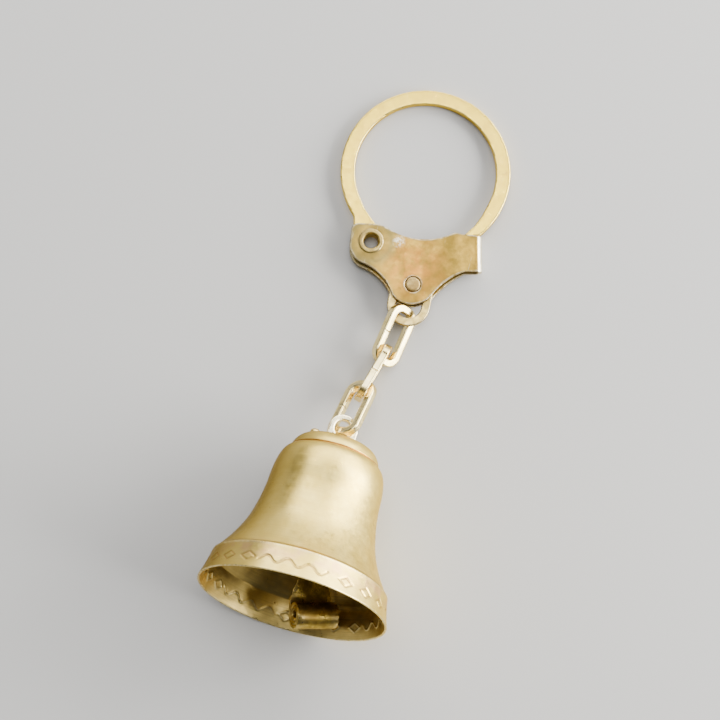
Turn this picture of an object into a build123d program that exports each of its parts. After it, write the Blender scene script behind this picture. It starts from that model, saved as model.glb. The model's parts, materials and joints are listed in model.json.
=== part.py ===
from build123d import *
from math import cos, radians, sin
import os

# Souvenir bell key chain, lying on its side on a table as it is put down.
# +Z is up, +Y runs along the bell from its mouth towards the key hoop.
# The origin is on the table, at the centre of the whole object's outline.

# ---- key hoop: one flat stamping with a hinge lug and a plain tongue ----
hoop_outer_r = 13.5
hoop_inner_r = 11.2
hoop_thickness = 1.2
lug_r = 2.75
lug_flare = [(-2.75, 0), (-2.75, 4.3), (-3.11, 4.93), (-3.5, 6.0), (-1.75, 7.3), (-0.76, 5.08),
             (0.9, 2.76), (1.6, 1.5), (2.75, 0)]
tongue_bottom = -3.5
tongue_clearance = 0.15
# cut off the round hoop before the lug and tongue are added; its right-hand corners taper the band
hoop_cut = [(-6, 4.93), (-3.11, 4.93), (-1.5, 5.9), (-1.45, 6.9), (10, 6), (16, 7), (18.3, 5.75),
            (17.55, 4.28), (16.26, 2.54), (14.85, 1.25), (14.5, 0.95), (30, 0.95), (30, -6), (-6, -6)]

# ---- clasp: one sheet folded over at its right end ----
sheet = 0.5
leaf_gap = 1.3
clasp_thickness = leaf_gap + 2 * sheet
fold_x = 17.45
fold_top = 0.8
fold_bottom = -4.95
hoop_centre = (8.68, 11.5)
leaf_end = -15.0
leaf_reach = 15.0
back_leaf_drop = 0.4

# ---- hinge eyelet and solid rivet ----
eyelet_bore_r = 1.12
eyelet_outer_r = 1.45
eyelet_flange_r = 2.0
flange_thickness = 0.22
eyelet_lip_r = 0.25
flange_edge_r = 0.12
rivet_at = (6.54, -6.98)
rivet_r = 1.2
rivet_dome = 0.12
rivet_foot_r = 1.6
running_clearance = 0.05
hole_clearance = 0.03

# ---- flat oval ring on the solid rivet ----
ring_length = 9.1
ring_width = 6.7
ring_band = 1.3
ring_thickness = 0.75
ring_edge_r = 0.15
ring_lean = 12.0

# ---- chain links of squared wire ----
link_length = 10.0
link_width = 5.35
link_wire = 1.2
link_corner_r = 2.2
link_edge_r = 0.3
link_seam = 0.06

# ---- bell: spun shell, profile given as radius and depth below the crown ----
bell_height = 25.6
mouth_r = 14.4
bell_sheet = 0.5
lip_thickness = 0.35
crown_flat_r = 5.2
crown_cap = [(5.75, 0.12), (6.25, 0.5), (6.7, 1.2), (7.0, 2.05)]
crown_groove = (6.93, 2.2)
shoulder_start = (7.2, 2.32)
shoulder = [(7.75, 2.85), (8.15, 3.7), (8.45, 5.0), (8.62, 6.5), (8.76, 9.2)]
cap_inside = [(6.85, 2.68), (6.45, 2.2), (6.22, 1.4), (5.85, 0.82)]
waist = [(9.2, 12.2), (10.0, 15.3), (11.35, 18.3)]
rim_neck = (12.95, 20.9)
rim_band_top = (13.4, 21.35)
rim_bulge = (13.78, 23.3)
rim_neck_in = (12.72, 21.35)
inner_stations = (0.93, 0.8, 0.65, 0.5, 0.36, 0.26, 0.18, 0.11)
bell_tilt = 16.2

# ---- crown eye, clapper staple and clapper ----
eye_hole_r = 1.4
eye_outer_r = 2.3
eye_hole_height = 3.0
eye_foot_half = 3.0
eye_thickness = 1.0
eye_rim_r = 0.2
eye_roll = -15.0
staple_wire_r = 0.5
staple_leg = 4.15
staple_depth = 3.2
staple_roll = 22.0
staple_head_r = 0.8
staple_head_height = 1.3
staple_head_round = 0.6
clapper_sheet = 0.55
clapper_length = 23.0
clapper_width = 6.6
clapper_neck = 2.2
clapper_roll_r = 2.35
clapper_curl_r = 0.95
clapper_slid = -1.8
clapper_lie = (-12.0, -8.1, 23.0)
clapper_roll_top = -20.9
clapper_neck_bottom = -14.5
curl_turn = 285
roll_half_turns = 4

# ---- where the pieces lie on the table ----
bell_centre_x = -0.24
bell_mouth_y = -40.247
clasp_at = (-4.14, 17.353)
clasp_heading = 15.6
clasp_tilt = 2.6


def tilted_plane(centre, heading, slope, roll):
    """Plane whose +Y points heading degrees right of +Y and slope degrees down, left side up by roll."""
    flat_x = Vector(1, 0, 0).rotate(Axis.Z, -heading)
    along = Vector(0, 1, 0).rotate(Axis.Z, -heading).rotate(Axis((0, 0, 0), flat_x), -slope)
    turn = Axis((0, 0, 0), along)
    across = flat_x.rotate(turn, roll)
    return Plane(origin=centre, x_dir=across, z_dir=across.cross(along))


# The clasp group leans so that the far edge of the hoop touches the table.
far_edge = hoop_centre[1] + hoop_outer_r
clasp_height = hoop_thickness / 2 + far_edge * sin(radians(clasp_tilt))
clasp_plane = tilted_plane((*clasp_at, clasp_height), -clasp_heading, clasp_tilt, 0)
clasp_normal = Axis(clasp_plane.origin, clasp_plane.z_dir)

# The bell's own frame: origin at the crown, +Z towards the mouth, +Y upwards.
tilt = radians(bell_tilt)
# It rests on its shoulder and on the upper edge of the rim band, so the mouth's edge is just clear.
rest_height = rim_band_top[0] * cos(tilt) + (bell_height - rim_band_top[1]) * sin(tilt)
mouth_centre = Vector(bell_centre_x, bell_mouth_y, rest_height)
bell_down = Vector(0, -cos(tilt), sin(tilt))
crown_centre = mouth_centre - bell_down * bell_height
bell_plane = Plane(origin=crown_centre, x_dir=(1, 0, 0), z_dir=bell_down)
bell_section = Plane(origin=crown_centre, x_dir=(1, 0, 0), z_dir=Vector(1, 0, 0).cross(bell_down))
bell_axis = Axis(crown_centre, bell_down)

os.makedirs("parts", exist_ok=True)


# ---- key ring: hoop, hinge lug on the left, tongue on the right ----
shoulder_y = fold_top + tongue_clearance
with BuildPart() as key_ring:
    with BuildSketch(clasp_plane) as hoop_outline:
        with Locations(hoop_centre):
            Circle(hoop_outer_r)
            Circle(hoop_inner_r, mode=Mode.SUBTRACT)
        with BuildLine():
            Polyline(*hoop_cut, close=True)
        make_face(mode=Mode.SUBTRACT)
        with BuildLine():
            Polyline(*lug_flare, close=True)
        make_face()
        Circle(lug_r)
        with BuildLine():
            Polyline((15.4, 1.6), (17.0, 1.6), (17.2, shoulder_y), (16.05, shoulder_y),
                     (15.7, tongue_bottom + 0.6), (15.1, tongue_bottom), (14.0, tongue_bottom),
                     (13.9, -1.0), (14.5, shoulder_y), close=True)
        make_face()
        Circle(eyelet_outer_r + running_clearance, mode=Mode.SUBTRACT)
    extrude(amount=hoop_thickness / 2, both=True)
key_ring.part.label = "key_ring"
export_step(key_ring.part, "parts/key_ring.step")


# ---- clasp body: a folded sheet, cut to the leaf outline ----
with BuildPart() as clasp_body:
    section = Plane(origin=clasp_plane.origin, x_dir=clasp_plane.x_dir, z_dir=-clasp_plane.y_dir)
    bend_x = fold_x - clasp_thickness / 2
    with BuildSketch(section) as folded_sheet:
        with Locations(((bend_x + leaf_end) / 2, 0)):
            SlotCenterToCenter(bend_x - leaf_end, clasp_thickness)
            SlotCenterToCenter(bend_x - leaf_end, leaf_gap, mode=Mode.SUBTRACT)
    extrude(amount=leaf_reach, both=True)
    leaves = []
    # the front leaf, then the back leaf, whose lower edge shows a little below the front one
    for side, drop in ((1, 0), (-1, back_leaf_drop)):
        with BuildSketch(clasp_plane) as leaf_outline:
            with BuildLine():
                top_left = Line((-2.0, 2.95), (0.8, 2.8))
                ease_in = Spline(top_left @ 1, (1.9, 2.5), (2.9, 1.95), tangents=(top_left % 1, (1, -0.62)))
                hollow = ThreePointArc(ease_in @ 1, (8.1, 0.3), (12.9, 1.25))
                burr = Spline(hollow @ 1, (13.3, 1.36), (14.4, 1.12), tangents=(hollow % 1, (1, -0.1)))
                top_right = Line(burr @ 1, (fold_x + 1, fold_top - 0.05))
                Line(top_right @ 1, (fold_x + 1, fold_bottom))
                bottom_right = Line((fold_x + 1, fold_bottom), (14.7, fold_bottom))
                ThreePointArc(bottom_right @ 1, (11.6, -6.6 - drop), (9.55, -8.65 - drop))
                ThreePointArc((9.55, -8.65 - drop), (6.25, -10.2), (3.3, -8.75 - drop))
                ThreePointArc((3.3, -8.75 - drop), (1.35, -5.35 - drop), (-1.35, -3.5 - drop))
                ThreePointArc((-1.35, -3.5 - drop), (-2.8, -2.35 - drop), (-3.35, -0.5))
                left_edge = Line((-3.35, -0.5), (-3.1, 1.5))
                ThreePointArc(left_edge @ 1, (-2.75, 2.6), top_left @ 0)
            make_face()
            Circle(eyelet_outer_r + hole_clearance, mode=Mode.SUBTRACT)
            with Locations(rivet_at):
                Circle(rivet_r + running_clearance, mode=Mode.SUBTRACT)
        leaves.append(extrude(amount=side * clasp_thickness, mode=Mode.PRIVATE))
    add(leaves[0] + leaves[1], mode=Mode.INTERSECT)
clasp_body.part.label = "clasp_body"
export_step(clasp_body.part, "parts/clasp_body.step")


# ---- hinge eyelet: hollow rivet, rolled over at both ends ----
with BuildPart() as hinge_eyelet:
    eyelet_half = clasp_thickness / 2 + flange_thickness
    with BuildSketch(clasp_plane):
        Circle(eyelet_outer_r)
    extrude(amount=eyelet_half, both=True)
    for side in (1, -1):
        with BuildSketch(clasp_plane.offset(side * (eyelet_half - flange_thickness))):
            Circle(eyelet_flange_r)
        extrude(amount=side * flange_thickness)
    with BuildSketch(clasp_plane):
        Circle(eyelet_bore_r)
    extrude(amount=2 * eyelet_half, both=True, mode=Mode.SUBTRACT)
    rims = hinge_eyelet.edges().filter_by(GeomType.CIRCLE).group_by(SortBy.RADIUS)
    fillet(rims[0], radius=eyelet_lip_r)
    fillet(rims[-1].sort_by(clasp_normal)[0::3], radius=flange_edge_r)
hinge_eyelet.part.label = "hinge_eyelet"
export_step(hinge_eyelet.part, "parts/hinge_eyelet.step")


# ---- solid rivet: flush domed head in front, spread foot behind ----
with BuildPart() as clasp_rivet:
    with BuildSketch(clasp_plane.offset(-clasp_thickness / 2)):
        with Locations(rivet_at):
            Circle(rivet_r)
    extrude(amount=clasp_thickness + rivet_dome)
    with BuildSketch(clasp_plane.offset(-clasp_thickness / 2)):
        with Locations(rivet_at):
            Circle(rivet_foot_r)
    extrude(amount=-flange_thickness)
    rivet_rims = clasp_rivet.edges().filter_by(GeomType.CIRCLE)
    rivet_rims = rivet_rims.sort_by(clasp_normal)
    fillet(rivet_rims[-1], radius=rivet_dome)
    fillet(rivet_rims[0], radius=rivet_dome)
clasp_rivet.part.label = "clasp_rivet"
export_step(clasp_rivet.part, "parts/clasp_rivet.step")


# ---- shackle ring: flat oval stamping hung on the solid rivet ----
ring_drop = (ring_length / 2 - ring_band) - rivet_r - running_clearance
lean = radians(ring_lean)
ring_centre = (rivet_at[0] - ring_drop * sin(lean), rivet_at[1] - ring_drop * cos(lean))
with BuildPart() as shackle_ring:
    with BuildSketch(clasp_plane):
        with Locations(Location((*ring_centre, 0), (0, 0, 90 - ring_lean))):
            SlotOverall(ring_length, ring_width)
            SlotOverall(ring_length - 2 * ring_band, ring_width - 2 * ring_band, mode=Mode.SUBTRACT)
    extrude(amount=ring_thickness / 2, both=True)
    flats = shackle_ring.faces().filter_by(clasp_plane)
    fillet(flats.edges(), radius=ring_edge_r)
shackle_ring.part.label = "shackle_ring"
export_step(shackle_ring.part, "parts/shackle_ring.step")


# ---- chain links: squared wire bent into long ovals, ends butted in one side ----
# centre, heading, slope and roll of each link where it lies
link_places = [
    ((3.33, 3.953, 2.37), 7.9, 0.6, 43.6),
    ((1.84, -2.717, 3.05), 14.8, 7.2, 91.4),
    ((0.35, -8.997, 4.64), 8.9, 20.1, -38.6),
]
link_planes = [tilted_plane(*place) for place in link_places]
for number, link_plane in enumerate(link_planes, start=1):
    with BuildPart() as chain_link:
        with BuildSketch(link_plane):
            RectangleRounded(link_width, link_length, link_corner_r)
            RectangleRounded(link_width - 2 * link_wire, link_length - 2 * link_wire,
                             link_corner_r - link_wire, mode=Mode.SUBTRACT)
        extrude(amount=link_wire / 2, both=True)
        flats = chain_link.faces().filter_by(link_plane)
        fillet(flats.edges(), radius=link_edge_r)
        with BuildSketch(link_plane):
            with Locations((-(link_width - link_wire) / 2, 0)):
                Rectangle(2 * link_wire, link_seam)
        extrude(amount=link_wire, both=True, mode=Mode.SUBTRACT)
    chain_link.part.label = f"chain_link_{number}"
    export_step(chain_link.part, f"parts/chain_link_{number}.step")


# ---- bell shell: spun from sheet, stepped crown, flared rim band ----
with BuildPart() as bell_shell:
    with BuildSketch(bell_section) as wall:
        with BuildLine():
            disc = Line((0, 0), (crown_flat_r, 0))
            cap = Spline(disc @ 1, *crown_cap)
            groove = Polyline(cap @ 1, crown_groove, shoulder_start)
            body = Spline(groove @ 1, *shoulder, *waist, rim_neck)
            Line(body @ 1, rim_band_top)
            rim = ThreePointArc(rim_band_top, rim_bulge, (mouth_r, bell_height))
            lip_in = Line(rim @ 1, (mouth_r - lip_thickness, bell_height))
            rim_in = ThreePointArc(lip_in @ 1, (rim_bulge[0] - bell_sheet, rim_bulge[1]), rim_neck_in)
            inner = [body @ u + (body % u).rotate(Axis.Z, 90) * bell_sheet for u in inner_stations]
            body_in = Spline(rim_in @ 1, *inner, *cap_inside, (crown_flat_r, bell_sheet))
            Line(body_in @ 1, (0, bell_sheet))
            Line((0, bell_sheet), (0, 0))
        make_face()
    revolve(axis=bell_axis)
    with BuildSketch(bell_plane):
        with Locations(Location((0, 0, 0), (0, 0, -staple_roll))):
            with Locations((-staple_leg, 0), (staple_leg, 0)):
                Circle(staple_wire_r + hole_clearance)
    extrude(amount=2 * bell_sheet, mode=Mode.SUBTRACT)
bell_shell.part.label = "bell_shell"
export_step(bell_shell.part, "parts/bell_shell.step")


# ---- crown eye: flat stamped lug brazed upright on the crown ----
eye_turn = Axis((0, 0, 0), bell_down)
eye_across = Vector(1, 0, 0).rotate(eye_turn, eye_roll)
eye_plane = Plane(origin=crown_centre, x_dir=eye_across, z_dir=eye_across.cross(-bell_down))
with BuildPart() as crown_eye:
    with BuildSketch(eye_plane):
        with Locations((0, eye_hole_height)):
            Circle(eye_outer_r)
        with BuildLine():
            foot = Line((-eye_foot_half, 0), (eye_foot_half, 0))
            ThreePointArc(foot @ 1, (2.45, 1.1), (eye_outer_r, eye_hole_height))
            Line((eye_outer_r, eye_hole_height), (-eye_outer_r, eye_hole_height))
            ThreePointArc((-eye_outer_r, eye_hole_height), (-2.45, 1.1), foot @ 0)
        make_face()
        with Locations((0, eye_hole_height)):
            Circle(eye_hole_r, mode=Mode.SUBTRACT)
    extrude(amount=eye_thickness / 2, both=True)
    eye_rims = crown_eye.edges().filter_by(GeomType.CIRCLE).group_by(SortBy.RADIUS)
    fillet(eye_rims[0], radius=eye_rim_r)
crown_eye.part.label = "crown_eye"
export_step(crown_eye.part, "parts/crown_eye.step")


# ---- clapper staple: bent wire through the crown, its two ends peened outside ----
staple_x = Vector(1, 0, 0).rotate(Axis((0, 0, 0), bell_down), -staple_roll)
staple_section = Plane(origin=crown_centre, x_dir=staple_x, z_dir=staple_x.cross(bell_down))
staple_top = Plane(origin=crown_centre, x_dir=staple_x, z_dir=-bell_down)
with BuildPart() as clapper_staple:
    with BuildLine(staple_section) as staple_wire:
        FilletPolyline((-staple_leg, 0), (-staple_leg, staple_depth), (staple_leg, staple_depth),
                       (staple_leg, 0), radius=2 * staple_wire_r)
    with BuildSketch(Plane(origin=staple_wire.line @ 0, z_dir=staple_wire.line % 0)):
        Circle(staple_wire_r)
    sweep()
    with BuildSketch(staple_top):
        with Locations((-staple_leg, 0), (staple_leg, 0)):
            Circle(staple_head_r)
    extrude(amount=staple_head_height)
    staple_circles = clapper_staple.edges().filter_by(GeomType.CIRCLE)
    head_rims = staple_circles.sort_by(Axis(crown_centre, -bell_down))[-2:]
    fillet(head_rims, radius=staple_head_round)
clapper_staple.part.label = "clapper_staple"
export_step(clapper_staple.part, "parts/clapper_staple.step")


# ---- clapper: one strip, curled over the staple and rolled up at its free end ----
curl_r = clapper_curl_r + clapper_sheet / 2
roll_r = clapper_roll_r - clapper_sheet / 2
turn_step = clapper_sheet + running_clearance
bar_point = crown_centre + bell_down * staple_depth + staple_x * clapper_slid
clapper_plane = tilted_plane(bar_point, *clapper_lie)
clapper_side = Plane(origin=bar_point, x_dir=clapper_plane.y_dir, z_dir=clapper_plane.x_dir)
with BuildPart() as clapper:
    with BuildSketch(clapper_side) as strip_profile:
        with BuildLine():
            CenterArc((0, 0), curl_r, -90, curl_turn)
            Line((0, -curl_r), (-clapper_length, -curl_r))
            low = -curl_r
            radius = roll_r
            way = -1
            for half_turn in range(roll_half_turns):
                high = low - way * 2 * radius
                ThreePointArc((-clapper_length, low), (-clapper_length + way * radius, (low + high) / 2),
                              (-clapper_length, high))
                low = high
                radius = radius - turn_step / 2
                way = -way
        trace(line_width=clapper_sheet)
    extrude(amount=clapper_width / 2, both=True)
    with BuildSketch(clapper_plane):
        with BuildLine():
            Polyline((0, -2 * clapper_length), (clapper_width / 2, -2 * clapper_length),
                     (clapper_width / 2, clapper_roll_top), (clapper_neck / 2, clapper_neck_bottom),
                     (clapper_neck / 2, clapper_width), (0, clapper_width))
            mirror(about=Plane.YZ)
        make_face()
    extrude(amount=2 * clapper_width, both=True, mode=Mode.INTERSECT)
clapper.part.label = "clapper"
export_step(clapper.part, "parts/clapper.step")
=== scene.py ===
import json
import math

import bmesh
import bpy
import numpy as np
from mathutils import Matrix, Vector, noise


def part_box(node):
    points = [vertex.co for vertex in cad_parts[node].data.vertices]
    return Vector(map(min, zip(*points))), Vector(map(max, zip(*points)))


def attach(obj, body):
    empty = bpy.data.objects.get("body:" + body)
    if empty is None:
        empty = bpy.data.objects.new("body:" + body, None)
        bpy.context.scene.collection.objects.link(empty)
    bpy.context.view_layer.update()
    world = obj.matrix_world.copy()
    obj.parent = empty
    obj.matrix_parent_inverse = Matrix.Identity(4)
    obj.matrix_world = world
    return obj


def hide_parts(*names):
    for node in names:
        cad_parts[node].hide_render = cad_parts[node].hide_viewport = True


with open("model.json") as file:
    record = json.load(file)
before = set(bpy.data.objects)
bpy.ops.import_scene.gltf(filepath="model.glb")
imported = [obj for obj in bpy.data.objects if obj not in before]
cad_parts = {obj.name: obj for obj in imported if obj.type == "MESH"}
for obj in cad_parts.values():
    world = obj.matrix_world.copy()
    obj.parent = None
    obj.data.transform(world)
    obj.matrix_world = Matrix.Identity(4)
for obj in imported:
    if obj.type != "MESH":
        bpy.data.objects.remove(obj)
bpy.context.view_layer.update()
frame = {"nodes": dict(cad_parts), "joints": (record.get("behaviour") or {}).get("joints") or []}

# A souvenir bell key chain lying on a table. +Z is up, +Y runs from the bell's mouth to the key hoop.
# Lengths are in metres; MM turns millimetres into metres.
MM = 0.001
joints = {j["name"]: j for j in frame["joints"]}


# ---- directions and places, read from the record's joints ----
def unit(v):
    v = np.array(v, float)
    return v / np.linalg.norm(v)


def turned(v, axis, degrees):
    """v turned about axis by the right-hand rule."""
    return np.array(Matrix.Rotation(math.radians(degrees), 3, Vector(axis)) @ Vector(v))


CLASP_HEADING = 15.6
BELL_TILT = 16.2
EYE_HEIGHT = 3.0 * MM
FOLD_HIGHLIGHT_REACH = 16.75 * MM

clasp_up = unit(joints["hoop_hinge"]["axis"])
clasp_x = unit(np.cross(turned((0, 1, 0), (0, 0, 1), CLASP_HEADING), clasp_up))
clasp_y = np.cross(clasp_up, clasp_x)
eyelet_at = np.array(joints["hoop_hinge"]["pos_m"])
rivet_at = np.array(joints["shackle_swing"]["pos_m"])

bell_down = np.array((0, -math.cos(math.radians(BELL_TILT)), math.sin(math.radians(BELL_TILT))))
bell_x = np.array((1.0, 0, 0))
bell_up = np.cross(bell_down, bell_x)
crown_at = np.array(joints["bell_swing"]["pos_m"]) + bell_down * EYE_HEIGHT
bar_at = np.array(joints["clapper_swing"]["pos_m"])


def tilted_axes(heading, slope, roll):
    """Columns x, y, z: +y points heading degrees right of +Y and slope degrees down, left side up by roll."""
    flat_x = turned((1, 0, 0), (0, 0, 1), -heading)
    along = turned(turned((0, 1, 0), (0, 0, 1), -heading), flat_x, -slope)
    across = turned(flat_x, along, roll)
    return np.stack([across, along, np.cross(across, along)], 1)


# ---- camera nearly overhead, from the bell's end ----
AZIMUTH, ELEVATION, DISTANCE, LENS = 15.6, 81.8, 0.280, 89.1
a, e = math.radians(AZIMUTH), math.radians(ELEVATION)
camera_back = Vector((math.sin(a) * math.cos(e), -math.cos(a) * math.cos(e), math.sin(e)))
look_at = Vector((-0.83 * MM, -0.86 * MM, 0))
camera = bpy.data.objects.new("camera", bpy.data.cameras.new("camera"))
camera.data.lens = LENS
camera.data.sensor_width = 36
camera.data.clip_start = 0.01
camera.location = look_at + camera_back * DISTANCE
camera.rotation_euler = camera_back.to_track_quat("Z", "Y").to_euler()
bpy.context.scene.collection.objects.link(camera)
bpy.context.scene.camera = camera


# ---- mesh helpers ----
def new_object(name, verts, faces):
    mesh = bpy.data.meshes.new(name)
    mesh.from_pydata([tuple(v) for v in verts], [], faces)
    mesh.update()
    made = bpy.data.objects.new(name, mesh)
    bpy.context.scene.collection.objects.link(made)
    return made


def smooth_shade(obj):
    obj.data.polygons.foreach_set("use_smooth", [True] * len(obj.data.polygons))
    obj.data.update()


def coordinates(mesh):
    co = np.zeros(len(mesh.vertices) * 3)
    mesh.vertices.foreach_get("co", co)
    return co.reshape(-1, 3)


def normals(mesh):
    found = np.zeros(len(mesh.vertices) * 3)
    mesh.vertices.foreach_get("normal", found)
    return found.reshape(-1, 3)


def set_coordinates(mesh, co):
    mesh.vertices.foreach_set("co", co.ravel())
    mesh.update()


def neighbour_mean(mesh, values, rounds=1):
    """values averaged over each vertex's neighbours, rounds times."""
    ends = np.zeros(len(mesh.edges) * 2, int)
    mesh.edges.foreach_get("vertices", ends)
    one, two = ends.reshape(-1, 2).T
    count = np.bincount(one, minlength=len(values)) + np.bincount(two, minlength=len(values))
    columns = values if values.ndim == 2 else values[:, None]
    for _ in range(rounds):
        total = np.zeros_like(columns)
        for k in range(columns.shape[1]):
            total[:, k] = np.bincount(one, columns[two, k], len(values))
            total[:, k] += np.bincount(two, columns[one, k], len(values))
        columns = total / np.maximum(count, 1)[:, None]
    return columns if values.ndim == 2 else columns[:, 0]


def add_attribute(mesh, name, values):
    attribute = mesh.attributes.get(name) or mesh.attributes.new(name, "FLOAT", "POINT")
    attribute.data.foreach_set("value", np.asarray(values, np.float32))


def mark_edges(obj, reach):
    """Stores 'worn', near 1 on outward edges, and 'grime', near 1 in hollows."""
    mesh = obj.data
    co = coordinates(mesh)
    spread = neighbour_mean(mesh, co, 4)
    bulge = ((co - spread) * normals(mesh)).sum(1) / reach
    bulge = neighbour_mean(mesh, bulge, 2)
    add_attribute(mesh, "worn", np.clip(bulge * 2.2 - 0.15, 0, 1))
    add_attribute(mesh, "grime", np.clip(-bulge * 2.2 - 0.15, 0, 1))


def roughen(obj, size, depth, seed):
    """Moves each vertex along its normal by smooth noise of that size and depth."""
    mesh = obj.data
    co = coordinates(mesh)
    shift = Vector((seed * 3.1, seed * 1.7, seed * 2.3))
    lift = np.array([noise.noise(Vector(p) / size + shift) for p in co])
    set_coordinates(mesh, co + normals(mesh) * (lift * depth)[:, None])


def refined(node, name, voxel, rounds, body, seed):
    """A worn copy of a CAD node: its edges are rounded over and its faces gently uneven."""
    source = frame["nodes"][node]
    made = bpy.data.objects.new(name, source.data.copy())
    bpy.context.scene.collection.objects.link(made)
    made.data.materials.clear()
    bpy.context.view_layer.objects.active = made
    remesh = made.modifiers.new("remesh", "REMESH")
    remesh.mode = "VOXEL"
    remesh.voxel_size = voxel
    evaluated = made.evaluated_get(bpy.context.evaluated_depsgraph_get())
    mesh = bpy.data.meshes.new_from_object(evaluated)
    made.modifiers.clear()
    made.data = mesh
    co = coordinates(mesh)
    for _ in range(rounds):
        co = co + 0.5 * (neighbour_mean(mesh, co) - co)
    set_coordinates(mesh, co)
    mark_edges(made, voxel)
    broad = np.linalg.norm(neighbour_mean(made.data, co, 40) - co, axis=1)
    add_attribute(made.data, "border", np.clip(broad / (0.22 * MM) - 0.1, 0, 1))
    roughen(made, 2.4 * MM, 0.012 * MM, seed)
    smooth_shade(made)
    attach(made, body)
    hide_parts(node)
    return made


def swept(name, path, axes, sections, closed_ends=True):
    """Skins a closed section along a path. axes gives the two section directions at each point."""
    count = len(sections[0])
    verts = []
    for point, (right, up), section in zip(path, axes, sections):
        verts += [point + right * u + up * v for u, v in section]
    faces = []
    for i in range(len(path) - 1):
        for j in range(count):
            k = (j + 1) % count
            faces.append((i * count + j, i * count + k, (i + 1) * count + k, (i + 1) * count + j))
    if closed_ends:
        for start, order in ((0, -1), ((len(path) - 1) * count, 1)):
            middle = len(verts)
            verts.append(np.mean(verts[start:start + count], 0))
            for j in range(count):
                pair = (start + j, start + (j + 1) % count)
                faces.append((*pair[::order], middle))
    made = new_object(name, verts, faces)
    bm = bmesh.new()
    bm.from_mesh(made.data)
    bmesh.ops.recalc_face_normals(bm, faces=bm.faces)
    bm.to_mesh(made.data)
    bm.free()
    smooth_shade(made)
    return made


def rounded_box(width, height, radius, per_corner=6, per_side=4):
    """Points round a rectangle with rounded corners, centred on the origin."""
    points = []
    for cx, cy, start in ((1, 1, 0), (-1, 1, 90), (-1, -1, 180), (1, -1, 270)):
        centre = np.array((cx * (width / 2 - radius), cy * (height / 2 - radius)))
        for k in range(per_corner + 1):
            turn = math.radians(start + 90 * k / per_corner)
            points.append(centre + radius * np.array((math.cos(turn), math.sin(turn))))
        here = points[-1]
        nx, ny = {0: (-1, 1), 90: (-1, -1), 180: (1, -1), 270: (1, 1)}[start]
        turn = math.radians(start + 90)
        following = np.array((nx * (width / 2 - radius), ny * (height / 2 - radius)))
        following = following + radius * np.array((math.cos(turn), math.sin(turn)))
        for k in range(1, per_side):
            points.append(here + (following - here) * k / per_side)
    return np.array(points)


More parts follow.
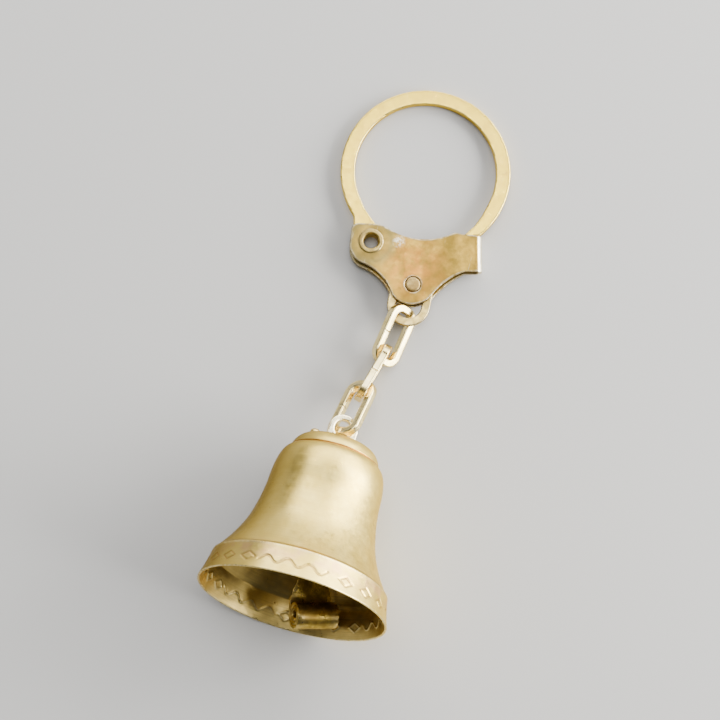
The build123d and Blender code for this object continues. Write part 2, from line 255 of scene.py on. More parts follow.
# ---- materials: aged brass with tarnish, specks, scratches and worn edges ----
def brass(name, bright, mid, tarnish, roughness, tarnish_share=0.35, grain=1.0, scratch=0.5,
          patch_size=3.5, edge=(0.95, 0.86, 0.62), extra=None, speck=0.35):
    """Procedural metal. bright and mid are mixed by a soft noise, tarnish comes in patches."""
    material = bpy.data.materials.new(name)
    material.use_nodes = True
    tree = material.node_tree
    nodes, links = tree.nodes, tree.links
    shader = nodes["Principled BSDF"]
    shader.inputs["Metallic"].default_value = 1.0
    shader.inputs["Specular Tint"].default_value = (0.92, 0.76, 0.48, 1)
    place = nodes.new("ShaderNodeTexCoord").outputs["Object"]

    def noise_at(size_mm, detail=4, rough=0.55, vector=None):
        texture = nodes.new("ShaderNodeTexNoise")
        texture.inputs["Scale"].default_value = 1 / (size_mm * MM)
        texture.inputs["Detail"].default_value = detail
        texture.inputs["Roughness"].default_value = rough
        links.new(vector or place, texture.inputs["Vector"])
        return texture.outputs["Fac"]

    def ramp(value, low, high, to_low=0.0, to_high=1.0):
        node = nodes.new("ShaderNodeMapRange")
        for key, number in (("From Min", low), ("From Max", high), ("To Min", to_low), ("To Max", to_high)):
            node.inputs[key].default_value = number
        links.new(value, node.inputs["Value"])
        return node.outputs["Result"]

    def maths(operation, one, two):
        node = nodes.new("ShaderNodeMath")
        node.operation = operation
        for socket, value in zip(node.inputs, (one, two)):
            if isinstance(value, (int, float)):
                socket.default_value = value
            else:
                links.new(value, socket)
        return node.outputs[0]

    def mixed(share, one, two):
        node = nodes.new("ShaderNodeMix")
        node.data_type = "RGBA"
        links.new(share, node.inputs["Factor"])
        for socket, value in ((node.inputs[6], one), (node.inputs[7], two)):
            if isinstance(value, tuple):
                socket.default_value = (*value, 1)
            else:
                links.new(value, socket)
        return node.outputs[2]

    def attribute(key):
        node = nodes.new("ShaderNodeAttribute")
        node.attribute_name = key
        return node.outputs["Fac"]

    def scratches(angle, size_mm):
        mapping = nodes.new("ShaderNodeMapping")
        mapping.inputs["Rotation"].default_value = (0.3, 0.2, math.radians(angle))
        mapping.inputs["Scale"].default_value = (1, 0.03, 1)
        links.new(place, mapping.inputs["Vector"])
        return ramp(noise_at(size_mm, 3, 0.6, mapping.outputs["Vector"]), 0.66, 0.72)

    cloud = noise_at(patch_size * 0.45, 5)
    colour = mixed(ramp(cloud, 0.35, 0.65), mid, bright)
    patches = ramp(noise_at(patch_size, 6, 0.62), 0.72 - tarnish_share, 0.80 - tarnish_share * 0.75)
    colour = mixed(maths("MULTIPLY", patches, 0.75), colour, tarnish)
    if extra:
        colour = extra(colour, mixed, ramp, maths, noise_at, place, nodes, links, attribute)
    specks = ramp(noise_at(0.16, 2, 0.5), 0.70, 0.76)
    colour = mixed(maths("MULTIPLY", specks, speck), colour, tuple(c * 0.35 for c in tarnish))
    lines = maths("MAXIMUM", scratches(38, 0.22), scratches(-57, 0.3))
    lines = maths("MULTIPLY", lines, ramp(noise_at(2.4, 2), 0.52, 0.66, 0, scratch))
    colour = mixed(lines, colour, edge)
    worn = maths("MULTIPLY", attribute("worn"), ramp(noise_at(0.6, 4), 0.3, 0.6))
    colour = mixed(worn, colour, edge)
    colour = mixed(maths("MULTIPLY", attribute("grime"), 0.8), colour, (0.05, 0.035, 0.02))
    links.new(colour, shader.inputs["Base Color"])

    rough = ramp(noise_at(0.9, 6, 0.65), 0.3, 0.7, roughness - 0.08, roughness + 0.10)
    rough = maths("ADD", rough, maths("MULTIPLY", patches, 0.12))
    rough = maths("SUBTRACT", rough, maths("MULTIPLY", worn, 0.15))
    links.new(maths("MAXIMUM", rough, 0.12), shader.inputs["Roughness"])

    height = maths("ADD", maths("MULTIPLY", noise_at(0.12, 6, 0.7), 0.5), noise_at(1.1, 3))
    height = maths("SUBTRACT", height, maths("MULTIPLY", lines, 0.6))
    height = maths("SUBTRACT", height, maths("MULTIPLY", specks, speck))
    bump = nodes.new("ShaderNodeBump")
    bump.inputs["Strength"].default_value = 0.35 * grain
    bump.inputs["Distance"].default_value = 0.06 * MM
    links.new(height, bump.inputs["Height"])
    links.new(bump.outputs["Normal"], shader.inputs["Normal"])
    return material


def near(centre, inner, outer, place, nodes, links, ramp):
    """1 within inner metres of centre, 0 beyond outer."""
    node = nodes.new("ShaderNodeVectorMath")
    node.operation = "DISTANCE"
    links.new(place, node.inputs[0])
    node.inputs[1].default_value = tuple(float(c) for c in centre)
    return ramp(node.outputs["Value"], inner, outer, 1, 0)


def clasp_stains_and_painted_light(colour, mixed, ramp, maths, noise_at, place, nodes, links, attribute):
    """Olive shade and ring round the eyelet, rivet bloom, dirty borders, a scuff, grime with painted contact
    shade at eyelet and rivet, and a painted highlight on the fold.
    """
    def close_to(centre, inner, outer):
        return near(centre, inner * MM, outer * MM, place, nodes, links, ramp)

    uneven = ramp(noise_at(1.4, 4), 0.3, 0.6)
    shade = maths("MULTIPLY", close_to(eyelet_at, 1.0, 5.5), 0.35)
    colour = mixed(shade, colour, (0.26, 0.21, 0.08))
    bloom = maths("MULTIPLY", close_to(rivet_at + clasp_y * 2.6 * MM, 1.0, 6.5), uneven)
    colour = mixed(maths("MULTIPLY", bloom, 0.9), colour, (0.52, 0.22, 0.035))
    ring = maths("SUBTRACT", close_to(eyelet_at, 3.6, 4.6), close_to(eyelet_at, 2.6, 3.4))
    colour = mixed(maths("MULTIPLY", ring, 0.65), colour, (0.20, 0.16, 0.055))
    border = maths("MULTIPLY", attribute("border"), ramp(noise_at(1.1, 4), 0.30, 0.65, 0.35, 0.9))
    colour = mixed(border, colour, (0.15, 0.115, 0.04))
    scuff = close_to(eyelet_at + 4.4 * MM * clasp_x - 0.1 * MM * clasp_y + 1.1 * MM * clasp_up, 0.1, 1.15)
    scuff = maths("MULTIPLY", scuff, ramp(noise_at(0.45, 3), 0.46, 0.60))
    colour = mixed(scuff, colour, (0.80, 0.76, 0.62))
    # Painted highlight: a pale band over the rounded fold at the clasp's far end, where the key light would
    # glint.
    across = nodes.new("ShaderNodeVectorMath")
    across.operation = "DOT_PRODUCT"
    links.new(place, across.inputs[0])
    across.inputs[1].default_value = tuple(float(c) for c in clasp_x)
    fold_highlight_from = float(np.dot(eyelet_at, clasp_x)) + FOLD_HIGHLIGHT_REACH
    colour = mixed(ramp(across.outputs["Value"], fold_highlight_from, fold_highlight_from + 0.15 * MM), colour, (0.90, 0.84, 0.66))
    # Darker discs round the eyelet and the rivet: grime, plus painted contact shade where these parts meet
    # the plate.
    for centre, reach in ((eyelet_at, 3.0), (rivet_at, 1.9)):
        grime_and_contact_shade = close_to(centre, reach - 0.9, reach)
        colour = mixed(maths("MULTIPLY", grime_and_contact_shade, 0.45), colour, (0.13, 0.10, 0.035))
    return colour


def bell_sides(colour, mixed, ramp, maths, noise_at, place, nodes, links, attribute):
    """Dull olive inside, a painted dark reflection down one side, pink stain on the band, a red line in the
    crown groove.
    """
    pink = maths("MULTIPLY", attribute("band"), ramp(noise_at(2.2, 4), 0.42, 0.6))
    colour = mixed(maths("MULTIPLY", pink, 0.6), colour, (0.74, 0.42, 0.24))
    spun = nodes.new("ShaderNodeTexNoise")
    spun.noise_dimensions = "1D"
    spun.inputs["Scale"].default_value = 5.0
    spun.inputs["Detail"].default_value = 5
    links.new(attribute("spin_height"), spun.inputs["W"])
    colour = mixed(ramp(spun.outputs["Fac"], 0.35, 0.7, 0, 0.22), colour, (0.60, 0.40, 0.14))
    # Painted dark reflection: one side of the bell is darkened to brown, standing in for a dark surface
    # mirrored in the brass.
    colour = mixed(attribute("flank"), colour, (0.19, 0.13, 0.038))
    colour = mixed(maths("MULTIPLY", attribute("groove"), 0.85), colour, (0.42, 0.17, 0.06))
    olive = mixed(ramp(noise_at(5.0, 4), 0.36, 0.66), (0.42, 0.30, 0.09), (0.78, 0.58, 0.18))
    olive = mixed(ramp(spun.outputs["Fac"], 0.45, 0.62, 0, 0.55), olive, (0.46, 0.33, 0.09))
    return mixed(attribute("inside"), colour, olive)


GOLD, DEEP_GOLD, PALE_EDGE = (0.86, 0.62, 0.07), (0.78, 0.54, 0.07), (0.95, 0.83, 0.46)
hoop_metal = brass("hoop_brass", GOLD, DEEP_GOLD, (0.68, 0.43, 0.09), 0.34, 0.12, 0.4, 0.2, edge=PALE_EDGE,
                   speck=0.2)
clasp_metal = brass("clasp_bronze", (0.42, 0.26, 0.04), (0.33, 0.21, 0.033), (0.21, 0.135, 0.022), 0.36,
                    0.28, 0.8, 0.3, 5.0, extra=clasp_stains_and_painted_light)
eyelet_metal = brass("eyelet_brass", (0.50, 0.37, 0.12), (0.40, 0.29, 0.085), (0.20, 0.135, 0.04), 0.34, 0.3,
                     0.6, 0.2)
rivet_metal = brass("rivet_brass", (0.56, 0.41, 0.16), (0.46, 0.32, 0.11), (0.26, 0.16, 0.045), 0.34, 0.3,
                    0.7, 0.3)
ring_metal = brass("ring_brass", (0.74, 0.57, 0.20), (0.58, 0.43, 0.13), (0.32, 0.22, 0.06), 0.30, 0.32)
chain_metal = brass("chain_brass", (0.93, 0.78, 0.40), (0.86, 0.69, 0.29), (0.52, 0.37, 0.12), 0.22, 0.13,
                    0.4, 0.2, edge=PALE_EDGE, speck=0.1)
bell_metal = brass("bell_brass", (0.88, 0.68, 0.19), (0.80, 0.59, 0.13), (0.62, 0.42, 0.08), 0.35, 0.10, 0.45,
                   0.12, 7.0, edge=PALE_EDGE, extra=bell_sides, speck=0.12)
eye_metal = brass("eye_brass", (0.98, 0.90, 0.66), (0.94, 0.82, 0.50), (0.62, 0.45, 0.16), 0.24, 0.10, 0.4,
                  0.15, speck=0.1)
staple_metal = brass("staple_brass", (0.86, 0.68, 0.28), (0.70, 0.50, 0.16), (0.34, 0.22, 0.06), 0.32, 0.3)
clapper_metal = brass("clapper_brass", (0.52, 0.37, 0.08), (0.36, 0.24, 0.04), (0.16, 0.095, 0.02), 0.28,
                      0.32, 0.8, 0.3, 2.5, edge=(0.72, 0.54, 0.20))


# ---- pieces whose CAD shape is right and only needs worn edges ----
worn_pieces = [
    ("key_ring", "worn_key_hoop", 0.10, 12, "hoop", "key_hoop_brass", hoop_metal, 1),
    ("clasp_body", "worn_clasp", 0.10, 3, "clasp", "clasp_bronze", clasp_metal, 2),
    ("shackle_ring", "worn_ring", 0.08, 3, "ring", "ring_brass", ring_metal, 5),
    ("crown_eye", "worn_crown_eye", 0.07, 5, "bell", "eye_brass", eye_metal, 6),
    ("clapper_staple", "worn_staple", 0.07, 3, "bell", "staple_brass", staple_metal, 7),
]
for node, name, voxel, rounds, body, material_slot, metal, seed in worn_pieces:
    piece = refined(node, name, voxel * MM, rounds, body, seed)
    piece.data.materials.append(metal)


def rounded_true(piece, centre, inner_r, outer_r, first, last):
    """Takes the flats of the faceted arc out of a flat ring, between two angles in degrees."""
    mesh = piece.data
    away = coordinates(mesh) - centre
    across, along, height = away @ clasp_x, away @ clasp_y, away @ clasp_up
    radius = np.hypot(across, along)
    angle = np.degrees(np.arctan2(along, across)) % 360
    angle = np.where(angle > (first + last) / 2 + 180, angle - 360, angle)
    cell = np.clip(((angle - first) / 0.5).astype(int), 0, int((last - first) / 0.5))
    on_wall = (np.abs(height) < 0.3 * MM) & (angle > first) & (angle < last)
    shifts = []
    for wall in (inner_r, outer_r):
        near_wall = on_wall & (np.abs(radius - wall) < 0.2 * MM)
        count = np.maximum(np.bincount(cell[near_wall], minlength=cell.max() + 1), 1)
        found = np.bincount(cell[near_wall], radius[near_wall], cell.max() + 1) / count
        found = np.where(found == 0, np.median(found), found)
        shifts.append((np.median(found) - found)[cell])
    outwards = np.clip((radius - inner_r) / (outer_r - inner_r), 0, 1)
    fade = np.clip((angle - first) / 4, 0, 1) * np.clip((last - angle) / 4, 0, 1)
    shift = (shifts[0] * (1 - outwards) + shifts[1] * outwards) * fade
    ray = away - height[:, None] * clasp_up
    set_coordinates(mesh, coordinates(mesh) + ray * (shift / radius)[:, None])


HOOP_RIGHT, HOOP_ABOVE = 8.68, 11.5
HOOP_INNER_R, HOOP_OUTER_R = 11.2 * MM, 13.5 * MM
HOOP_ARC = (-27, 202)
hoop_at = eyelet_at + MM * (HOOP_RIGHT * clasp_x + HOOP_ABOVE * clasp_y)
rounded_true(bpy.data.objects["worn_key_hoop"], hoop_at, HOOP_INNER_R, HOOP_OUTER_R, *HOOP_ARC)


# ---- turned pieces of the clasp: profiles run round the clasp's normal, as radius and height ----
def lathed(name, centre, profile, seed, turns=120):
    """A closed or pole-to-pole profile, in millimetres, spun about the clasp's normal at centre."""
    verts, faces = [], []
    for radius, height in profile:
        for k in range(turns):
            t = 2 * math.pi * k / turns
            way = clasp_x * math.cos(t) + clasp_y * math.sin(t)
            verts.append(centre + MM * (way * radius + clasp_up * height))
    rows = len(profile)
    for i in range(rows):
        j = (i + 1) % rows
        for k in range(turns):
            n = (k + 1) % turns
            faces.append((i * turns + k, i * turns + n, j * turns + n, j * turns + k))
    made = new_object(name, verts, faces)
    bm = bmesh.new()
    bm.from_mesh(made.data)
    bmesh.ops.remove_doubles(bm, verts=bm.verts, dist=0.002 * MM)
    bmesh.ops.recalc_face_normals(bm, faces=bm.faces)
    bm.to_mesh(made.data)
    bm.free()
    roughen(made, 0.5 * MM, 0.02 * MM, seed)
    mark_edges(made, 0.1 * MM)
    smooth_shade(made)
    return made


# the eyelet: a tube whose two ends flare out as soft funnel lips
EYELET_LIP = [(1.12, 0.0), (1.12, 0.88), (1.14, 1.02), (1.19, 1.13), (1.27, 1.22), (1.38, 1.285),
              (1.50, 1.315), (1.63, 1.318), (1.76, 1.30), (1.88, 1.262), (1.97, 1.21), (2.0, 1.165),
              (1.97, 1.15), (1.7, 1.15), (1.5, 1.15), (1.45, 1.1), (1.45, 0.5), (1.45, 0.0)]
# the rivet: a shallow domed head flush with the front leaf, a spread foot behind the back leaf
RIVET = [(0.0, 1.29), (0.3, 1.285), (0.6, 1.265), (0.85, 1.23), (1.02, 1.18), (1.13, 1.11), (1.18, 1.02),
         (1.19, 0.8), (1.19, 0.0), (1.19, -1.15), (1.55, -1.16), (1.6, -1.21), (1.58, -1.31), (1.48, -1.36),
         (1.2, -1.37), (0.6, -1.37), (0.0, -1.37)]


def fine(profile, step):
    """The same profile with points no further apart than step."""
    found = [np.array(profile[0], float)]
    for one, two in zip(profile, profile[1:]):
        one, two = np.array(one, float), np.array(two, float)
        parts = max(1, int(math.ceil(np.linalg.norm(two - one) / step)))
        found += [one + (two - one) * k / parts for k in range(1, parts + 1)]
    return found


eyelet_profile = fine(EYELET_LIP, 0.07)
eyelet_profile += [(r, -h) for r, h in eyelet_profile[-2:0:-1]]
for node, name, centre, outline, metal, material_slot, seed in (
        ("hinge_eyelet", "funnel_eyelet", eyelet_at, eyelet_profile, eyelet_metal, "eyelet_brass", 3),
        ("clasp_rivet", "domed_rivet", rivet_at, fine(RIVET, 0.07), rivet_metal, "rivet_brass", 4)):
    piece = lathed(name, centre, outline, seed)
    piece.data.materials.append(metal)
    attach(piece, "clasp")
    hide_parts(node)


# ---- chain links: squared wire, ends butted together in one arm ----
LINK_LENGTH, LINK_WIDTH, LINK_WIRE, LINK_CORNER = 10.0 * MM, 5.35 * MM, 1.2 * MM, 2.2 * MM
SEAM = 0.06 * MM
link_places = [
    ("chain_link_1", "link_1", (7.9, 0.6, 43.6)),
    ("chain_link_2", "link_2", (14.8, 7.2, 91.4)),
    ("chain_link_3", "link_3", (8.9, 20.1, -38.6)),
]


def link_path(steps=220):
    """Points and outward directions round a link's centre line, from one side of the seam to the other."""
    half_w, half_l = (LINK_WIDTH - LINK_WIRE) / 2, (LINK_LENGTH - LINK_WIRE) / 2
    corner = LINK_CORNER - LINK_WIRE / 2
    legs = [("line", np.array((-half_w, SEAM / 2)), np.array((-half_w, half_l - corner))),
            ("arc", np.array((-half_w + corner, half_l - corner)), 180),
            ("line", np.array((-half_w + corner, half_l)), np.array((half_w - corner, half_l))),
            ("arc", np.array((half_w - corner, half_l - corner)), 90),
            ("line", np.array((half_w, half_l - corner)), np.array((half_w, corner - half_l))),
            ("arc", np.array((half_w - corner, corner - half_l)), 0),
            ("line", np.array((half_w - corner, -half_l)), np.array((corner - half_w, -half_l))),
            ("arc", np.array((corner - half_w, corner - half_l)), -90),
            ("line", np.array((-half_w, corner - half_l)), np.array((-half_w, -SEAM / 2)))]
    points = []
    for leg in legs:
        if leg[0] == "line":
            points += [leg[1] + (leg[2] - leg[1]) * t for t in np.linspace(0, 1, 30)]
        else:
            for t in np.linspace(0, 1, 24):
                turn = math.radians(leg[2] - 90 * t)
                points.append(leg[1] + corner * np.array((math.cos(turn), math.sin(turn))))
    points = np.array(points)
    run = np.concatenate([[0], np.cumsum(np.linalg.norm(np.diff(points, axis=0), axis=1))])
    even = np.linspace(0, run[-1], steps)
    points = np.stack([np.interp(even, run, points[:, k]) for k in (0, 1)], 1)
    along = np.gradient(points, axis=0)
    along /= np.linalg.norm(along, axis=1)[:, None]
    outward = np.stack([-along[:, 1], along[:, 0]], 1)
    return points, outward, even, run[-1]


points, outward, even, total = link_path()
for number, (node, body, lie) in enumerate(link_places, start=1):
    turn = tilted_axes(*lie)
    centre = np.mean(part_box(node), 0)
    section = rounded_box(LINK_WIRE, LINK_WIRE, 0.22 * MM)
    sections, axes, path = [], [], []
    for point, out, s in zip(points, outward, even):
        end = min(s, total - s)
        pinch = 1 - 0.03 * math.exp(-end / (0.06 * MM))
        wobble = 1 + 0.012 * noise.noise(Vector((s / (1.5 * MM), number * 7.0, 0)))
        sections.append(section * pinch * wobble)
        across = turn @ np.array((out[0], out[1], 0))
        twist = math.radians(2.5) * noise.noise(Vector((s / (4 * MM), number * 3.0, 5)))
        upward = turn[:, 2]
        axes.append((across * math.cos(twist) + upward * math.sin(twist),
                     upward * math.cos(twist) - across * math.sin(twist)))
        path.append(centre + turn @ np.array((point[0], point[1], 0)))
    piece = swept(f"wire_link_{number}", path, axes, sections)
    roughen(piece, 1.6 * MM, 0.010 * MM, 10 + number)
    mark_edges(piece, 0.16 * MM)
    piece.data.materials.append(chain_metal)
    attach(piece, body)
    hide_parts(node)


# ---- bell: spun profile with the pressed ornament round its rim band ----
BELL_SHEET, LIP_SHEET = 0.5, 0.35
CAP = [(5.2, 0), (5.75, 0.12), (6.25, 0.5), (6.7, 1.2), (7.0, 2.05)]
GROOVE = [(7.0, 2.05), (6.86, 2.19), (7.2, 2.32)]
SHOULDER = [(7.2, 2.32), (7.75, 2.85), (8.15, 3.7), (8.45, 5.0), (8.62, 6.5), (8.76, 9.2),
            (9.2, 12.2), (10.0, 15.3), (11.35, 18.3), (12.95, 20.9)]
BAND = [(13.4, 21.35), (13.57, 22.3), (13.78, 23.3), (14.05, 24.4), (14.4, 25.6)]
INNER_CAP = [(6.85, 2.68), (6.45, 2.2), (6.22, 1.4), (5.85, 0.82), (5.2, 0.5)]


def catmull(points, per_span=14):
    """A smooth line through the points."""
    points = np.array(points, float)
    padded = np.vstack([2 * points[0] - points[1], points, 2 * points[-1] - points[-2]])
    found = []
    for i in range(1, len(padded) - 2):
        p0, p1, p2, p3 = padded[i - 1:i + 3]
        for t in np.linspace(0, 1, per_span, endpoint=False):
            found.append(0.5 * (2 * p1 + (p2 - p0) * t + (2 * p0 - 5 * p1 + 4 * p2 - p3) * t * t
                                + (3 * p1 - p0 - 3 * p2 + p3) * t ** 3))
    found.append(points[-1])
    return np.array(found)


def resample(line, step):
    run = np.concatenate([[0], np.cumsum(np.linalg.norm(np.diff(line, axis=0), axis=1))])
    even = np.linspace(0, run[-1], max(2, int(round(run[-1] / step)) + 1))
    return np.stack([np.interp(even, run, line[:, k]) for k in (0, 1)], 1)


def offset_inward(line, amount):
    along = np.gradient(line, axis=0)
    along /= np.linalg.norm(along, axis=1)[:, None]
    return line + np.stack([-along[:, 1], along[:, 0]], 1) * amount


body_line = catmull(SHOULDER)
band_line = catmull(BAND)
outer_line = np.vstack([
    resample(np.array([(0.25, 0.0), (5.1, 0.0)]), 0.3),
    resample(catmull(CAP), 0.1),
    resample(np.array(GROOVE), 0.05)[1:],
    resample(body_line, 0.16)[1:],
    resample(np.array([(13.0, 20.96), (13.33, 21.29)]), 0.12),
    resample(band_line, 0.11),
])
inner_body = offset_inward(body_line, BELL_SHEET)[::-1]
thinning = np.clip((band_line[:, 1] - 23.3) / 2.3, 0, 1) * (BELL_SHEET - LIP_SHEET)
inner_band = (band_line - np.stack([BELL_SHEET - thinning, 0 * thinning], 1))[::-1]
lip = [(14.39, 25.64), (14.34, 25.68), (14.23, 25.70), (14.12, 25.68), (14.07, 25.64)]
inner_line = np.vstack([
    resample(inner_band, 0.11),
    resample(inner_body[(inner_body[:, 0] < 12.5) & (inner_body[:, 1] > 3.0)], 0.16),
    resample(catmull(INNER_CAP), 0.12),
    resample(np.array([(5.0, BELL_SHEET), (0.25, BELL_SHEET)]), 0.3),
])
profile = np.vstack([outer_line, lip, inner_line])
lip_start, lip_end = len(outer_line), len(outer_line) + len(lip)

TURNS = 560
angles = np.linspace(0, 2 * math.pi, TURNS, endpoint=False)
WAVE_CENTRES = (-3.5, 104.5, 212.5)
WAVE_HALF, WAVE_PERIOD, WAVE_RISE = 21.0, 13.0, 0.48
LOZENGE_ROWS = ((30.0, 79.0, 4), (133.0, 184.0, 4), (240.0, 328.0, 7))
LOZENGE_HALF = 0.85
LINE_HALF = 0.20
BAND_RADIUS = 13.9
BAND_MIDDLE = 23.85
PRESS_DEPTH = 0.12
PRESS_FROM, PRESS_TO = 22.1, 25.45
GROOVE_DEPTH, NECK_DEPTH, STEP_DEPTH, STAIN_DEPTH = 2.17, 21.15, 21.5, 22.3
# Where the painted dark reflection lies round the bell: its middle angle, half width and fade, in degrees.
DARK_REFLECTION_MIDDLE, DARK_REFLECTION_HALF, DARK_REFLECTION_FADE = 262, 80, 45


def ornament(degrees, depth):
    """How strongly the pressed line runs through a point of the rim band, 0 to 1."""
    best = np.full(np.broadcast(degrees, depth).shape, 9.0)
    arc = math.radians(1) * BAND_RADIUS
    for centre in WAVE_CENTRES:
        d = (degrees - centre + 180) % 360 - 180
        inside = np.clip(np.abs(d) - WAVE_HALF, 0, None) * arc
        phase = 2 * math.pi * np.clip(d, -WAVE_HALF, WAVE_HALF) / WAVE_PERIOD
        height = BAND_MIDDLE + WAVE_RISE * np.sin(phase)
        steep = WAVE_RISE * 2 * math.pi / (WAVE_PERIOD * arc) * np.cos(phase)
        gap = np.abs(depth - height) / np.sqrt(1 + steep ** 2)
        best = np.minimum(best, np.hypot(gap, inside))
    for first, last, count in LOZENGE_ROWS:
        for k in range(count):
            centre = first + (last - first) * k / (count - 1)
            d = ((degrees - centre + 180) % 360 - 180) * arc
            lozenge = np.abs(np.abs(d) * 0.75 + np.abs(depth - BAND_MIDDLE) * 1.2 - LOZENGE_HALF) * 0.75
            best = np.minimum(best, lozenge)
    return np.clip(1 - best / LINE_HALF, 0, 1)


radius_grid = np.repeat(profile[:, :1], TURNS, axis=1)
depth_grid = np.repeat(profile[:, 1:], TURNS, axis=1)
degree_grid = np.repeat(np.degrees(angles)[None, :], len(profile), axis=0)
line = ornament(degree_grid, depth_grid)
line = line * line * (3 - 2 * line)
in_band = (profile[:, 1] > PRESS_FROM) & (profile[:, 1] < PRESS_TO)
line[~in_band] = 0
radius_grid -= PRESS_DEPTH * line
uneven = np.array([[noise.noise(Vector((math.cos(t) * 1.6, math.sin(t) * 1.6, h / 7.0))) for t in angles[::8]]
                   for h in profile[:, 1]])
uneven = np.repeat(uneven, 8, axis=1)
kernel = np.ones(17) / 17
uneven = np.stack([np.convolve(np.r_[row[-8:], row, row[:8]], kernel, "valid") for row in uneven])
radius_grid += 0.05 * uneven * np.clip(depth_grid / 3, 0, 1)

verts = []
for row_r, row_h in zip(radius_grid, depth_grid):
    for r, h, t in zip(row_r, row_h, angles):
        verts.append(crown_at + MM * (bell_down * h + (bell_x * math.sin(t) + bell_up * math.cos(t)) * r))
faces = []
for i in range(len(profile) - 1):
    for j in range(TURNS):
        k = (j + 1) % TURNS
        faces.append((i * TURNS + j, i * TURNS + k, (i + 1) * TURNS + k, (i + 1) * TURNS + j))
inner_pole = crown_at + bell_down * BELL_SHEET * MM
for start, middle, flip in ((0, crown_at, 1), ((len(profile) - 1) * TURNS, inner_pole, -1)):
    centre = len(verts)
    verts.append(middle)
    for j in range(TURNS):
        pair = (start + (j + 1) % TURNS, start + j)
        faces.append((*pair[::flip], centre))
bell = new_object("spun_bell", verts, faces)
bm = bmesh.new()
bm.from_mesh(bell.data)
bmesh.ops.recalc_face_normals(bm, faces=bm.faces)
bm.to_mesh(bell.data)
bm.free()
smooth_shade(bell)
row_number = np.append(np.repeat(np.arange(len(profile)), TURNS), [0, len(profile) - 1])
line_all = np.append(line.ravel(), [0, 0])
depth_all = np.append(depth_grid.ravel(), [0, BELL_SHEET])
is_inside = (row_number >= lip_end).astype(float)
is_lip = ((row_number >= lip_start - 1) & (row_number <= lip_end)).astype(float)
band_line_near = np.exp(-((depth_all - STAIN_DEPTH) / 1.2) ** 2) * (1 - is_inside)
add_attribute(bell.data, "inside", is_inside)
add_attribute(bell.data, "band", band_line_near)
add_attribute(bell.data, "spin_height", depth_all)
neck_line = np.exp(-((depth_all - NECK_DEPTH) / 0.16) ** 2) * 0.5
pressed = np.where(is_inside > 0, 0, line_all * 0.22)
add_attribute(bell.data, "grime", np.clip(neck_line * (1 - is_inside) + pressed, 0, 1))
raised = np.where(is_inside > 0, line_all * 0.4, 0)
rim_wear = np.exp(-((depth_all - STEP_DEPTH) / 0.14) ** 2) * 0.5 * (1 - is_inside)
add_attribute(bell.data, "worn", np.clip(is_lip * 0.7 + raised + rim_wear, 0, 1))
groove = (np.exp(-((depth_all - GROOVE_DEPTH) / 0.14) ** 2) + line_all * 0.4) * (1 - is_inside)
add_attribute(bell.data, "groove", groove)
degree_all = np.append(degree_grid.ravel(), [0, 0])
# Painted dark reflection down one side of the bell, full in its middle and fading towards its edges.
from_dark_reflection = np.abs((degree_all - DARK_REFLECTION_MIDDLE + 180) % 360 - 180)
add_attribute(bell.data, "flank", np.clip((DARK_REFLECTION_HALF - from_dark_reflection) / DARK_REFLECTION_FADE, 0, 1) * 0.9)
bell.data.materials.append(bell_metal)
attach(bell, "bell")
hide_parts("bell_shell")


# ---- clapper: one strip, curled over the staple and rolled up at its free end ----
STRIP, STRIP_LENGTH, CURL_R, ROLL_R, ROLL_PITCH, ROLL_TURNS = 0.55, 23.0, 1.225, 2.075, 0.6, 2.35
NECK_WIDTH, WIDENING = 2.2, 4.4
WIDENS_FROM, WIDENS_OVER, ROLL_FROM = 14.5, 6.4, 20.9
CLAPPER_LIE = (-12.0, -8.1, 23.0)
lie = tilted_axes(*CLAPPER_LIE)
side_x, side_y, side_across = lie[:, 1], lie[:, 2], lie[:, 0]
flat = []
for turn in np.linspace(195, -90, 60):
    flat.append((CURL_R * math.cos(math.radians(turn)), CURL_R * math.sin(math.radians(turn))))
flat += [(-x, -CURL_R) for x in np.linspace(0.3, STRIP_LENGTH - 0.2, 110)]
roll_centre = np.array((-STRIP_LENGTH, -CURL_R + ROLL_R))
for turn in np.linspace(0, 360 * ROLL_TURNS, 260):
    r = ROLL_R - ROLL_PITCH * turn / 360
    t = math.radians(-90 - turn)
    flat.append(tuple(roll_centre + r * np.array((math.cos(t), math.sin(t)))))
flat = resample(np.array(flat), 0.12)
along = np.gradient(flat, axis=0)
along /= np.linalg.norm(along, axis=1)[:, None]
path, axes, sections = [], [], []
rolled = False
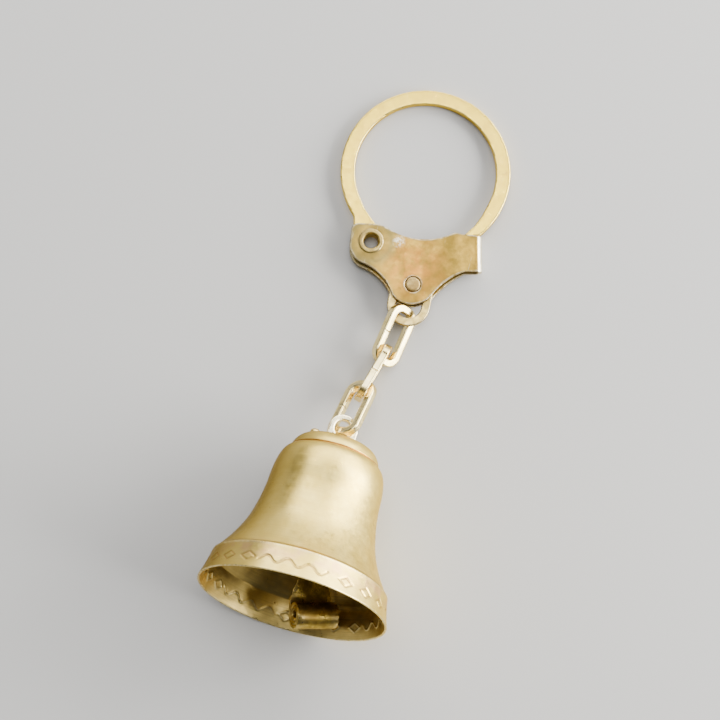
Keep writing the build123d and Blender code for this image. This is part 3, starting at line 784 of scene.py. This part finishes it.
for point, (ax, ay) in zip(flat, along):
    reach = -point[0]
    rolled = rolled or reach > ROLL_FROM
    share = 1.0 if rolled else min(1, max(0, (reach - WIDENS_FROM) / WIDENS_OVER))
    eased = share if share in (0, 1) else share * share * (3 - 2 * share) * 0.35 + share * 0.65
    width = NECK_WIDTH + WIDENING * eased
    sections.append(rounded_box(width * MM, STRIP * 0.97 * MM, 0.12 * MM, 3, 10))
    path.append(bar_at + MM * (side_x * point[0] + side_y * point[1]))
    axes.append((side_across, side_x * -ay + side_y * ax))
clapper = swept("rolled_clapper", path, axes, sections)
roughen(clapper, 1.8 * MM, 0.02 * MM, 21)
mark_edges(clapper, 0.12 * MM)
clapper.data.materials.append(clapper_metal)
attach(clapper, "clapper")
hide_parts("clapper")


# ---- plain pale floor and soft studio light ----
floor = new_object("floor", [(-3, -3, 0), (3, -3, 0), (3, 3, 0), (-3, 3, 0)], [(0, 1, 2, 3)])
floor_paint = bpy.data.materials.new("floor_paint")
floor_paint.use_nodes = True
floor_shader = floor_paint.node_tree.nodes["Principled BSDF"]
floor_shader.inputs["Base Color"].default_value = (0.47, 0.465, 0.455, 1)
floor_shader.inputs["Roughness"].default_value = 0.8
floor.data.materials.append(floor_paint)

world = bpy.data.worlds.new("studio")
bpy.context.scene.world = world
world.use_nodes = True
world.node_tree.nodes["Background"].inputs["Color"].default_value = (0.80, 0.81, 0.84, 1)
world.node_tree.nodes["Background"].inputs["Strength"].default_value = 0.11


def softbox(name, place, width, height, power, colour):
    """A large area light at place, facing the object."""
    light = bpy.data.lights.new(name, "AREA")
    light.shape = "RECTANGLE"
    light.size, light.size_y = width, height
    light.energy = power
    light.color = colour
    holder = bpy.data.objects.new(name, light)
    holder.location = place
    holder.rotation_euler = (Vector(place) - look_at).to_track_quat("Z", "Y").to_euler()
    bpy.context.scene.collection.objects.link(holder)


softbox("key_light", (0.54, 0.10, 0.21), 0.46, 0.38, 11.0, (1, 0.99, 0.96))
softbox("corner_light", (0.40, 0.44, 0.26), 0.46, 0.40, 6.5, (1, 0.99, 0.96))
softbox("back_light", (-0.14, 0.60, 0.30), 0.80, 0.44, 6.0, (1, 0.985, 0.95))
softbox("left_light", (-0.55, -0.05, 0.22), 0.50, 0.40, 0.5, (1, 0.99, 0.96))
softbox("top_light", (-0.06, 0.16, 0.75), 0.44, 0.40, 4.0, (0.97, 0.98, 1))
